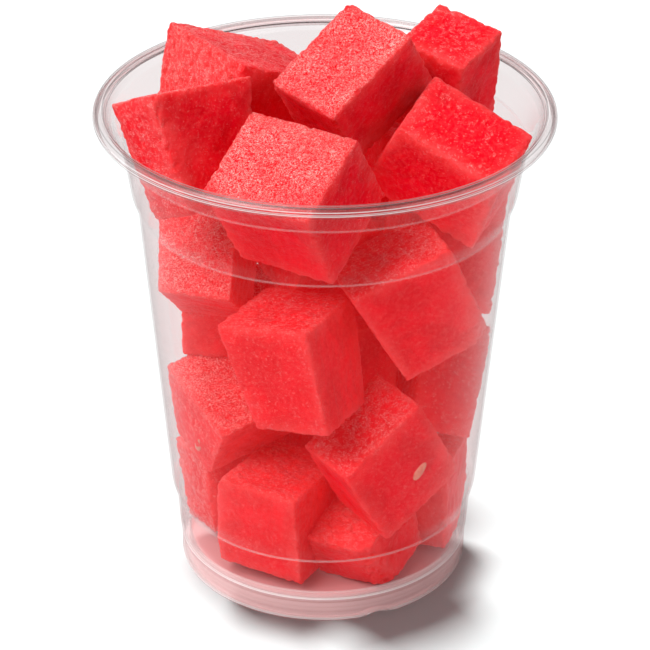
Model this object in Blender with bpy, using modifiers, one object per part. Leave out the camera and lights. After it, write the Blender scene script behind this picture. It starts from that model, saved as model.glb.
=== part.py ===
"""Watermelon chunks heaped in a clear plastic cup.

Sizes are in millimetres and angles in degrees; the objects are built in
metres. +Z is up. The origin is on the cup's axis, in the plane that its foot
stands on, and the cup's front looks along -Y.
"""

import math
from dataclasses import dataclass
from itertools import combinations, product

import bmesh
import bpy
import numpy as np
from mathutils import Euler, Matrix, Vector

MM = 0.001

# Cup: heights above the foot, and radii of the side that faces the contents.
CUP_HEIGHT = 111.8
RIM_RADIUS = 49.6
SHEET = 0.4
TURN_STEPS = 64
SMOOTH_ANGLE = 35.0
WELD_DISTANCE = 0.01

LIP_WIDTH = 2.8
LIP_HEIGHT = 2.8
LIP_TUCK = -75.0
LIP_STEPS = 8

NECK_RADIUS = 45.6
NECK_HEIGHT = 109.2
LIP_RING_RADIUS = 43.4
LIP_RING_HEIGHT = 104.2
LIP_RING_STEP = 0.3
LIP_RING_TALL = 0.8
SHOULDER_RADIUS = 41.5
SHOULDER_HEIGHT = 92.7
BODY_TOP_RADIUS = 40.2
BODY_TOP_HEIGHT = 89.4
BODY_BOTTOM_RADIUS = 34.3
BODY_BOTTOM_HEIGHT = 20.0
BASE_TOP_RADIUS = 33.2
BASE_TOP_HEIGHT = 16.7
BASE_BOTTOM_RADIUS = 32.6
BASE_BOTTOM_HEIGHT = 8.0
FOOT_TOP_RADIUS = 32.3
FOOT_TOP_HEIGHT = 6.2
FOOT_DRAFT = 0.1

FOOT_FLAT = 0.8
FOOT_BEND = 0.3
SKIRT_TOP_RADIUS = 30.9
FLOOR_HEIGHT = 6.0
FLOOR_BEND = 0.9
BEND_STEPS = 3

NOTCH_COUNT = 3
NOTCH_FIRST = -68.0
NOTCH_SPREAD = 9.0
NOTCH_HEIGHT = 1.0
NOTCH_FADE = 3.5

# Fruit.
GAP = 0.3
CUT_TOLERANCE = 0.0001
LEAST_CROSSING = 1.0
EDGE_ROUND = 0.45
EDGE_STEPS = 2
SEED_SIZE = (4.6, 1.4, 2.3)
SEED_SUNK = 0.25
HEAP_HEIGHT = 150.0

CORNER_SIGNS = np.array(list(product((-1.0, 1.0), repeat=3)))


@dataclass(frozen=True)
class Chunk:
    """A cube cut by eye: where it lies, how it is turned and how it is shaped.

    size is the mean width, depth and height. taper is how much wider and
    deeper the top is than the mean, as shares. lean is how far the top is
    shifted along the chunk's own X and Y for each unit of its height.
    """

    name: str
    at: tuple
    turn: tuple
    size: tuple
    taper: tuple = (0.0, 0.0)
    lean: tuple = (0.0, 0.0)


@dataclass(frozen=True)
class Seed:
    """A seed on a chunk's front face: its place across and up it, and its turn."""

    chunk: str
    across: float
    up: float
    turn: float


CHUNKS = [
    # On the floor.
    Chunk("bottom_front_left", (-10.5, -19, 19), (-10, 4, -24), (20.5, 19.5, 22.5), (-0.05, 0.45), (-0.05, 0.1)),
    Chunk("bottom_front", (9.5, -18.5, 14.5), (8, -4, -28), (16.5, 22, 14), (-0.1, 0.15), (-0.05, -0.1)),
    Chunk("bottom_right", (21.5, -4.5, 18.5), (-2, 0, -18), (18.5, 17, 22), (0, 0), (0, -0.05)),
    Chunk("bottom_left", (-23, 1, 17), (1, -8, -60), (15, 15, 18.5), (0, 0), (-0.05, 0)),
    Chunk("bottom_back_right", (8.5, 15.5, 17.5), (0, 0, 4), (20.5, 20, 21)),
    Chunk("bottom_back_left", (-14, 17, 18.5), (-6, -4, -30), (19, 18.5, 20)),
    # Second layer.
    Chunk("lower_left", (-20, -3.5, 38.5), (13, 13, -58), (21, 21.5, 18), (0.25, -0.05), (0.05, 0.05)),
    Chunk("lower_front_right", (13, -20.5, 36.5), (4, -32, 34), (24, 16.5, 23), (0, -0.05), (0.05, 0.05)),
    Chunk("lower_back_right", (15, 19.5, 41), (-10, 4, 51), (19.5, 17, 20.5), (0, -0.05)),
    Chunk("lower_back_left", (-8.5, 19.5, 41), (-1, -5, -27), (20.5, 20, 22)),
    # Middle of the cup.
    Chunk("middle_core", (3.5, 0.5, 49.5), (-10, -6, -57), (19.5, 18.5, 20)),
    Chunk("middle_right", (26, 1.5, 44.5), (-29, 24, 5), (15, 17.5, 26), (0.05, 0), (-0.15, 0)),
    Chunk("middle_left", (-20.5, 6.5, 58), (18, -1, -11), (20, 17.5, 14), (-0.05, -0.05)),
    Chunk("middle_front", (-5.5, -23, 61), (-5, -8, -25), (19.5, 21.5, 25.5), (0.1, 0.1), (-0.1, -0.1)),
    Chunk("middle_front_right", (18.5, -15, 72), (-1, -22, 18), (24, 17.5, 26.5), (0.05, 0.15), (-0.1, 0)),
    Chunk("middle_back_right", (11.5, 21, 67.5), (4, 12, 26), (20, 19.5, 21)),
    # Below the shoulder.
    Chunk("upper_core", (-2, 5.5, 75), (15, 11, 34), (18, 17.5, 18.5)),
    Chunk("upper_back_left", (-13, 23, 76.5), (-19, 0, -56), (19.5, 20, 21.5), (0, 0), (0.05, 0)),
    Chunk("upper_left", (-25.5, -2.5, 76.5), (-43, -2, -18), (17.5, 18, 23), (0.05, 0.05), (-0.15, 0)),
    Chunk("upper_right", (26, 4, 77), (-4, 8, 15), (22, 18, 29), (0, -0.1), (0, -0.05)),
    Chunk("upper_back_right", (17.5, 20.5, 88), (3, 14, 15), (19, 18.5, 20.5)),
    Chunk("upper_back", (2, 29, 95), (-23, 13, -29), (16.5, 16, 17.5), (-0.05, -0.05), (0, 0.05)),
    # The heap in the mouth.
    Chunk("top_front", (-6, -22.5, 101), (30, 0, -32), (25, 23, 23.5), (0.05, -0.05), (0, -0.05)),
    Chunk("top_left", (-27.5, -11, 106), (-26, 7, 40), (23, 14, 26), (0.2, 0.05), (-0.1, -0.15)),
    Chunk("top_right", (27, -8, 102.5), (19, 25, -20), (26, 19, 20.5), (-0.05, -0.05)),
    Chunk("top_back_left", (-17.5, 17, 104.5), (-23, 1, -53), (27, 29.5, 23), (0.05, 0.1), (0.05, -0.05)),
    Chunk("top_centre", (6, -0.5, 117), (30, 6, -46), (19, 25, 19), (0, 0), (0.1, -0.1)),
    Chunk("top_back_right", (26, 17, 111), (10, 11, -32), (18, 17, 20.5), (-0.1, 0), (0, 0.1)),
]

SEEDS = [
    Seed("lower_front_right", 2.5, -3.0, 15),
    Seed("lower_left", 2.2, -4.0, 70),
]


def clear_scene():
    """Remove whatever the scene holds."""
    for thing in list(bpy.data.objects):
        bpy.data.objects.remove(thing, do_unlink=True)


def new_collection(name):
    """Add a collection under the scene's own."""
    collection = bpy.data.collections.new(name)
    bpy.context.scene.collection.children.link(collection)
    return collection


def new_material(name, colour, roughness, transmission=0.0, ior=1.45):
    """Make a Principled material."""
    material = bpy.data.materials.new(name)
    material.use_nodes = True
    shader = material.node_tree.nodes["Principled BSDF"]
    shader.inputs["Base Color"].default_value = (*colour, 1.0)
    shader.inputs["Roughness"].default_value = roughness
    shader.inputs["Metallic"].default_value = 0.0
    shader.inputs["Transmission Weight"].default_value = transmission
    shader.inputs["IOR"].default_value = ior
    return material


def add_object(name, mesh, collection, material=None):
    """Link a mesh to a collection as a named object."""
    thing = bpy.data.objects.new(name, mesh)
    if material is not None:
        mesh.materials.append(material)
    collection.objects.link(thing)
    return thing


def hide_cutter(thing):
    """Keep a cutter out of the model."""
    thing.hide_render = True
    thing.display_type = "WIRE"


def arc(centre, half_width, half_height, start, end, steps):
    """Points along an arc of an ellipse, as (radius, height)."""
    points = []
    for step in range(steps + 1):
        angle = math.radians(start + (end - start) * step / steps)
        radius = centre[0] + half_width * math.cos(angle)
        height = centre[1] + half_height * math.sin(angle)
        points.append((radius, height))
    return points


def wall_outline():
    """The inner side of the wall, from under the lip down to the foot."""
    return [
        (NECK_RADIUS, NECK_HEIGHT),
        (LIP_RING_RADIUS, LIP_RING_HEIGHT),
        (LIP_RING_RADIUS - LIP_RING_STEP, LIP_RING_HEIGHT - LIP_RING_TALL),
        (SHOULDER_RADIUS, SHOULDER_HEIGHT),
        (BODY_TOP_RADIUS, BODY_TOP_HEIGHT),
        (BODY_BOTTOM_RADIUS, BODY_BOTTOM_HEIGHT),
        (BASE_TOP_RADIUS, BASE_TOP_HEIGHT),
        (BASE_BOTTOM_RADIUS, BASE_BOTTOM_HEIGHT),
        (FOOT_TOP_RADIUS, FOOT_TOP_HEIGHT),
    ]


def cup_outline():
    """The sheet's contents side, from the lip's free edge to the floor's middle.

    The lip is rolled out and down. Below the floor the sheet folds back up on
    itself, so the cup stands on a narrow ring.
    """
    lip_centre = (RIM_RADIUS - LIP_WIDTH / 2, CUP_HEIGHT - LIP_HEIGHT / 2)
    lip = arc(lip_centre, LIP_WIDTH / 2, LIP_HEIGHT / 2, LIP_TUCK, 180, LIP_STEPS)
    foot_outside = FOOT_TOP_RADIUS - FOOT_DRAFT
    foot_height = SHEET + FOOT_BEND
    outer_bend = arc((foot_outside - FOOT_BEND, foot_height), FOOT_BEND, FOOT_BEND, 0, -90, BEND_STEPS)
    inner_centre = (foot_outside - FOOT_BEND - FOOT_FLAT, foot_height)
    inner_bend = arc(inner_centre, FOOT_BEND, FOOT_BEND, -90, -180, BEND_STEPS)
    floor_centre = (SKIRT_TOP_RADIUS - FLOOR_BEND, FLOOR_HEIGHT - FLOOR_BEND)
    floor_bend = arc(floor_centre, FLOOR_BEND, FLOOR_BEND, 0, 90, BEND_STEPS)
    middle = [(0.0, FLOOR_HEIGHT)]
    return lip + wall_outline() + outer_bend + inner_bend + floor_bend + middle


def space_outline():
    """The room for fruit inside the cup, as a closed outline on the axis."""
    bottom = FLOOR_HEIGHT + GAP
    top_radius = RIM_RADIUS - LIP_WIDTH - GAP
    walls = [(radius - GAP, height) for radius, height in wall_outline()[:-2]]
    base = (SKIRT_TOP_RADIUS, bottom)
    return [(0.0, HEAP_HEIGHT), (top_radius, HEAP_HEIGHT), (top_radius, CUP_HEIGHT)] + walls + [base, (0.0, bottom)]


def turned_mesh(name, outline):
    """Turn an outline of (radius, height) about Z and return the mesh."""
    profile = bpy.data.meshes.new(name + "_profile")
    vertices = [(radius * MM, 0.0, height * MM) for radius, height in outline]
    edges = [(index, index + 1) for index in range(len(outline) - 1)]
    profile.from_pydata(vertices, edges, [])
    lathe = bpy.data.objects.new(name + "_lathe", profile)
    bpy.context.scene.collection.objects.link(lathe)
    screw = lathe.modifiers.new("turn", "SCREW")
    screw.steps = TURN_STEPS
    screw.render_steps = TURN_STEPS
    screw.use_merge_vertices = True
    screw.merge_threshold = WELD_DISTANCE * MM
    depsgraph = bpy.context.evaluated_depsgraph_get()
    mesh = bpy.data.meshes.new_from_object(lathe.evaluated_get(depsgraph))
    mesh.name = name
    bpy.data.objects.remove(lathe, do_unlink=True)
    bpy.data.meshes.remove(profile)
    return mesh


def notch_foot(mesh):
    """Raise the foot into shallow scallops, fading out above it."""
    for vertex in mesh.vertices:
        azimuth = math.degrees(math.atan2(vertex.co.y, vertex.co.x))
        turn = 360.0 / NOTCH_COUNT
        offset = (azimuth - NOTCH_FIRST + turn / 2) % turn - turn / 2
        share = max(0.0, 1.0 - abs(offset) / NOTCH_SPREAD)
        fade = max(0.0, 1.0 - vertex.co.z / (NOTCH_FADE * MM))
        vertex.co.z += NOTCH_HEIGHT * MM * fade * math.sin(share * math.pi / 2) ** 2


def build_cup(collection, material):
    """The cup: one thin sheet turned about its axis."""
    mesh = turned_mesh("cup", cup_outline())
    notch_foot(mesh)
    mesh.shade_smooth()
    mesh.set_sharp_from_angle(angle=math.radians(SMOOTH_ANGLE))
    cup = add_object("cup", mesh, collection, material)
    sheet = cup.modifiers.new("sheet", "SOLIDIFY")
    sheet.thickness = SHEET * MM
    sheet.offset = 1.0
    sheet.use_even_offset = True
    return cup


def shape_corner(chunk, point):
    """Move a point of the chunk's unit cube to its place in the tapered block."""
    height = 2.0 * point[2]
    shaped = []
    for axis in (0, 1):
        width = point[axis] * chunk.size[axis] * (1.0 + chunk.taper[axis] * height)
        shaped.append(width + chunk.lean[axis] * point[2] * chunk.size[2])
    shaped.append(point[2] * chunk.size[2])
    return Vector(shaped)


def placement(chunk):
    """The chunk's place and turn, in millimetres."""
    angles = Euler([math.radians(angle) for angle in chunk.turn])
    return Matrix.Translation(chunk.at) @ angles.to_matrix().to_4x4()


def world_corners(chunk):
    """The chunk's eight corners, before its edges are rounded."""
    matrix = placement(chunk)
    return np.array([matrix @ shape_corner(chunk, signs / 2) for signs in CORNER_SIGNS])


def block_edges(corners):
    """Directions of the block's twelve edges."""
    edges = []
    for first, second in combinations(range(8), 2):
        if np.count_nonzero(CORNER_SIGNS[first] != CORNER_SIGNS[second]) == 1:
            edges.append(corners[second] - corners[first])
    return edges


def split_directions(first, second):
    """Directions in which two blocks could lie apart: face normals and edge pairs."""
    first_edges = block_edges(first)
    second_edges = block_edges(second)
    pairs = list(combinations(first_edges, 2)) + list(combinations(second_edges, 2))
    pairs += list(product(first_edges, second_edges))
    crossed = np.array([np.cross(one, other) for one, other in pairs])
    lengths = np.linalg.norm(crossed, axis=1)
    keep = lengths > LEAST_CROSSING
    return crossed[keep] / lengths[keep, None]


def contact_plane(first, second):
    """Where two blocks that meet are pressed flat.

    Returns the direction from the first to the second in which they overlap
    least and the middle of that overlap, or None if they lie apart.
    """
    directions = split_directions(first, second)
    directions = np.vstack([directions, -directions])
    first_end = (first @ directions.T).max(axis=0)
    second_start = (second @ directions.T).min(axis=0)
    overlap = first_end - second_start
    best = int(overlap.argmin())
    if overlap[best] < -GAP:
        return None
    return directions[best], (first_end[best] + second_start[best]) / 2


def contact_planes(chunks):
    """For each chunk, the planes (direction, distance) that it ends at."""
    corners = {chunk.name: world_corners(chunk) for chunk in chunks}
    planes = {chunk.name: [] for chunk in chunks}
    for first, second in combinations(corners, 2):
        contact = contact_plane(corners[first], corners[second])
        if contact is not None:
            direction, distance = contact
            planes[first].append((direction, distance - GAP / 2))
            planes[second].append((-direction, -distance - GAP / 2))
    return planes


def cut_flat(block, matrix, direction, distance):
    """Cut a closed block at a world plane and close it with a flat face."""
    normal = matrix.to_3x3().transposed() @ Vector(direction)
    point = matrix.inverted() @ (Vector(direction) * distance)
    everything = block.verts[:] + block.edges[:] + block.faces[:]
    tolerance = CUT_TOLERANCE * MM
    cut = bmesh.ops.bisect_plane(
        block, geom=everything, dist=tolerance, plane_co=point * MM, plane_no=normal, clear_outer=True
    )
    rim = [item for item in cut["geom_cut"] if isinstance(item, bmesh.types.BMEdge)]
    if rim:
        bmesh.ops.contextual_create(block, geom=rim)


def chunk_mesh(chunk, planes):
    """A tapered block with rounded edges, flat where it meets its neighbours."""
    block = bmesh.new()
    bmesh.ops.create_cube(block, size=1.0)
    for vertex in block.verts:
        vertex.co = shape_corner(chunk, vertex.co) * MM
    bmesh.ops.bevel(
        block, geom=block.edges[:], offset=EDGE_ROUND * MM, segments=EDGE_STEPS, profile=0.5, affect="EDGES"
    )
    matrix = placement(chunk)
    for direction, distance in planes:
        cut_flat(block, matrix, direction, distance)
    bmesh.ops.recalc_face_normals(block, faces=block.faces[:])
    mesh = bpy.data.meshes.new("chunk_" + chunk.name)
    block.to_mesh(mesh)
    block.free()
    return mesh


def add_boolean(thing, name, operation, other):
    """Cut or join another object with this one."""
    boolean = thing.modifiers.new(name, "BOOLEAN")
    boolean.operation = operation
    boolean.object = other


def build_chunk(chunk, planes, space, collection, material):
    """One chunk of fruit, kept clear of the cup's wall and floor."""
    thing = add_object("chunk_" + chunk.name, chunk_mesh(chunk, planes), collection, material)
    thing.location = Vector(chunk.at) * MM
    thing.rotation_euler = [math.radians(angle) for angle in chunk.turn]
    add_boolean(thing, "inside_cup", "INTERSECT", space)
    return thing


def build_seed(seed, chunk, thing, cutters):
    """A seed lying half sunk in its chunk's front face and joined to it."""
    share = 2.0 * seed.up / chunk.size[2]
    front = shape_corner(chunk, (0.0, -0.5, share / 2)).y + SEED_SUNK
    shape = bmesh.new()
    bmesh.ops.create_uvsphere(shape, u_segments=12, v_segments=8, radius=0.5)
    bmesh.ops.scale(shape, vec=Vector(SEED_SIZE) * MM, verts=shape.verts)
    mesh = bpy.data.meshes.new("seed")
    shape.to_mesh(mesh)
    shape.free()
    kernel = add_object("seed_on_" + chunk.name, mesh, cutters)
    kernel.parent = thing
    kernel.location = Vector((seed.across, front, seed.up)) * MM
    kernel.rotation_euler = (0.0, -math.radians(seed.turn), 0.0)
    hide_cutter(kernel)
    add_boolean(thing, "seed", "UNION", kernel)


def build():
    """Build the cup and its chunks."""
    clear_scene()
    parts = new_collection("watermelon_cup")
    cutters = new_collection("cutters")
    plastic = new_material("clear_plastic", (0.93, 0.94, 0.94), 0.05, transmission=1.0, ior=1.57)
    flesh = new_material("watermelon_flesh", (0.76, 0.05, 0.05), 0.35)

    build_cup(parts, plastic)
    space = add_object("cup_space", turned_mesh("cup_space", space_outline()), cutters)
    hide_cutter(space)

    planes = contact_planes(CHUNKS)
    things = {}
    for chunk in CHUNKS:
        things[chunk.name] = build_chunk(chunk, planes[chunk.name], space, parts, flesh)
    shapes = {chunk.name: chunk for chunk in CHUNKS}
    for seed in SEEDS:
        build_seed(seed, shapes[seed.chunk], things[seed.chunk], cutters)


build()
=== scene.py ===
"""A clear plastic cup heaped with watermelon chunks, dressed for the studio.

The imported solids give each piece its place, size and turn. Every chunk is
replaced by a finely divided surface that follows its solid and adds the grain,
the nibbled edges and the soft waviness of cut melon. The cup is replaced by a
smoothly turned clear sheet of the same outline.
"""

import logging
import math
from dataclasses import dataclass
from enum import Enum

import bpy
import numpy as np
from mathutils import Matrix, Vector


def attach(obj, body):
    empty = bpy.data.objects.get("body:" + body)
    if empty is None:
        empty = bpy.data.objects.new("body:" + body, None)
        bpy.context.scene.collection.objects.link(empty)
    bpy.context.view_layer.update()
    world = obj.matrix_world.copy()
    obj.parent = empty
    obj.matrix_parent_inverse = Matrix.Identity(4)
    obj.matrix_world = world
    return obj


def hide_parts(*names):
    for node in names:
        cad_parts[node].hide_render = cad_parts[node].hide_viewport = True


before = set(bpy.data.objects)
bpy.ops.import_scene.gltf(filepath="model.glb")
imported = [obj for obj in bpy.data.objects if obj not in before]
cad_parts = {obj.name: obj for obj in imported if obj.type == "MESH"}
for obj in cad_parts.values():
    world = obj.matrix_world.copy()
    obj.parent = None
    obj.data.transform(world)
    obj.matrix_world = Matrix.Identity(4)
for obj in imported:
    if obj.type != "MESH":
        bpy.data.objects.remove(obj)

LOG = logging.getLogger("watermelon_cup")
MM = 0.001

# Triangles belong to one flat face where the cosine between their normals is
# above the first number and their levels differ by less than the second.
SAME_WAY = 0.9995
SAME_REACH = 0.15

# The smallest face that counts as one, and the smallest that a seed lies on, in
# square millimetres.
LEAST_FACE = 9.0
LARGE_FACE = 60.0

# How many grid points are laid on a solid at a time, and the lowest weight that
# still counts as inside a triangle's cone.
BATCH = 4096
LEAST_WEIGHT = -1e-6

# The largest share of a side that a rounded corner takes up.
MOST_BEND = 0.45

Array = np.ndarray


# ---- shader maths


@dataclass(frozen=True)
class Pattern:
    """Cloudy noise cut to a range: 0 at low and 1 at high, either of which may be the larger."""

    scale: float
    detail: float
    swirl: float
    low: float
    high: float


class Wire:
    """A value in a shader tree, with arithmetic that adds Math nodes."""

    def __init__(self, tree: "ShaderTree", socket: bpy.types.NodeSocket) -> None:
        """Wrap a socket.

        Args:
            tree: The tree that the socket belongs to.
            socket: The output that carries the value.
        """
        self.tree = tree
        self.socket = socket

    def _math(self, operation: str, first: object, second: object) -> "Wire":
        """Join two values with a Math node.

        Args:
            operation: The Math node's operation.
            first: A wire or a number.
            second: A wire or a number.

        Returns:
            The result as a wire.
        """
        return self.tree.add("ShaderNodeMath", {"operation": operation}, {0: first, 1: second})

    def __add__(self, other: object) -> "Wire":
        """Sum."""
        return self._math("ADD", self, other)

    def __radd__(self, other: object) -> "Wire":
        """Sum with a number on the left."""
        return self._math("ADD", other, self)

    def __sub__(self, other: object) -> "Wire":
        """Difference."""
        return self._math("SUBTRACT", self, other)

    def __rsub__(self, other: object) -> "Wire":
        """Difference from a number."""
        return self._math("SUBTRACT", other, self)

    def __mul__(self, other: object) -> "Wire":
        """Product."""
        return self._math("MULTIPLY", self, other)

    def __rmul__(self, other: object) -> "Wire":
        """Product with a number on the left."""
        return self._math("MULTIPLY", other, self)

    def __abs__(self) -> "Wire":
        """Size without sign."""
        return self._math("ABSOLUTE", self, 0.0)

    def __pow__(self, other: object) -> "Wire":
        """Power."""
        return self._math("POWER", self, other)


class ShaderTree:
    """One material's node tree."""

    def __init__(self, name: str) -> None:
        """Start an empty material.

        Args:
            name: The material's name.
        """
        self.material = bpy.data.materials.new(name)
        self.material.use_nodes = True
        self.nodes = self.material.node_tree.nodes
        self.links = self.material.node_tree.links
        self.nodes.clear()

    def make(self, kind: str, settings: dict, values: dict) -> bpy.types.Node:
        """Add a node, set its properties, then fill or link its inputs.

        Args:
            kind: The node's type.
            settings: Its properties by name.
            values: Its inputs by name or number: a wire or a constant.

        Returns:
            The node.
        """
        node = self.nodes.new(kind)
        for name, setting in settings.items():
            setattr(node, name, setting)
        for name, value in values.items():
            if isinstance(value, Wire):
                self.links.new(value.socket, node.inputs[name])
            else:
                node.inputs[name].default_value = value
        return node

    def add(self, kind: str, settings: dict, values: dict, output: object = 0) -> Wire:
        """Add a node and return one of its outputs.

        Args:
            kind: The node's type.
            settings: Its properties by name.
            values: Its inputs by name or number.
            output: The output's name or number.

        Returns:
            The output as a wire.
        """
        return Wire(self, self.make(kind, settings, values).outputs[output])

    def attribute(self, name: str, output: str = "Fac") -> Wire:
        """Read a value stored on the mesh."""
        return self.add("ShaderNodeAttribute", {"attribute_name": name}, {}, output)

    def noise(self, vector: Wire, scale: float, detail: float, swirl: float = 0.0) -> Wire:
        """Cloudy noise from 0 to 1.

        Args:
            vector: Where the noise is read.
            scale: Clouds to each unit of the vector.
            detail: Number of finer layers.
            swirl: How far the clouds are swirled.

        Returns:
            The noise's value.
        """
        values = {"Vector": vector, "Scale": scale, "Detail": detail, "Distortion": swirl}
        return self.add("ShaderNodeTexNoise", {}, values, "Fac")

    def pattern(self, vector: Wire, kind: Pattern) -> Wire:
        """Noise cut to its pattern's range."""
        return self.ramp(self.noise(vector, kind.scale, kind.detail, kind.swirl), kind.low, kind.high)

    def ramp(self, value: Wire, low: float, high: float) -> Wire:
        """Rise smoothly from 0 at low to 1 at high."""
        settings = {"interpolation_type": "SMOOTHSTEP"}
        values = {"Value": value, "From Min": low, "From Max": high}
        return self.add("ShaderNodeMapRange", settings, values, "Result")

    def stretch(self, vector: Wire, scale: tuple) -> Wire:
        """Scale a vector along each axis."""
        return self.add("ShaderNodeMapping", {}, {"Vector": vector, "Scale": scale}, "Vector")

    def blend(self, share: object, first: object, second: object) -> Wire:
        """Blend two colours.

        Args:
            share: How much of the second colour shows, from 0 to 1.
            first: A colour or a wire.
            second: A colour or a wire.

        Returns:
            The blended colour.
        """
        values = {0: share, 6: first, 7: second}
        return self.add("ShaderNodeMix", {"data_type": "RGBA"}, values, 2)

    def turn_from(self, across: Wire, up: Wire) -> Wire:
        """The angle in degrees of a point seen from a centre, 0 outwards and 90 upwards."""
        angle = self.add("ShaderNodeMath", {"operation": "ARCTAN2"}, {0: up, 1: across})
        return angle * math.degrees(1.0)

    def peaks(self, value: Wire, lines: tuple) -> Wire:
        """Add up smooth peaks.

        Args:
            value: Where along the lines a point lies.
            lines: The middle, half width and strength of each peak.

        Returns:
            The sum of the peaks.
        """
        total = 0.0
        for middle, half_width, strength in lines:
            total = self.ramp(abs(value - middle), half_width, 0.0) * strength + total
        return total

    def clear(self, colour: tuple) -> Wire:
        """A surface that lets light pass straight through and tints it."""
        return self.add("ShaderNodeBsdfTransparent", {}, {"Color": colour})

    def matt(self, colour: tuple) -> Wire:
        """A surface that scatters light evenly."""
        return self.add("ShaderNodeBsdfDiffuse", {}, {"Color": colour})

    def cover(self, share: Wire, under: Wire, over: Wire) -> Wire:
        """Lay one surface over another, as far as share says."""
        return self.add("ShaderNodeMixShader", {}, {0: share, 1: under, 2: over})

    def bump(self, height: Wire, distance: float) -> Wire:
        """Turn a height into a shading normal."""
        values = {"Height": height, "Distance": distance, "Strength": 1.0}
        return self.add("ShaderNodeBump", {}, values, "Normal")

    def finish(self, shader: Wire) -> bpy.types.Material:
        """Send a shader to the surface and return the material."""
        self.make("ShaderNodeOutputMaterial", {}, {"Surface": shader})
        return self.material


def rgba(red: float, green: float, blue: float) -> tuple:
    """A linear colour from display values between 0 and 255."""
    channels = []
    for value in (red, green, blue):
        share = value / 255.0
        channels.append(share / 12.92 if share <= 0.04045 else ((share + 0.055) / 1.055) ** 2.4)
    return (*channels, 1.0)


# ---- finishes


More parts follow.
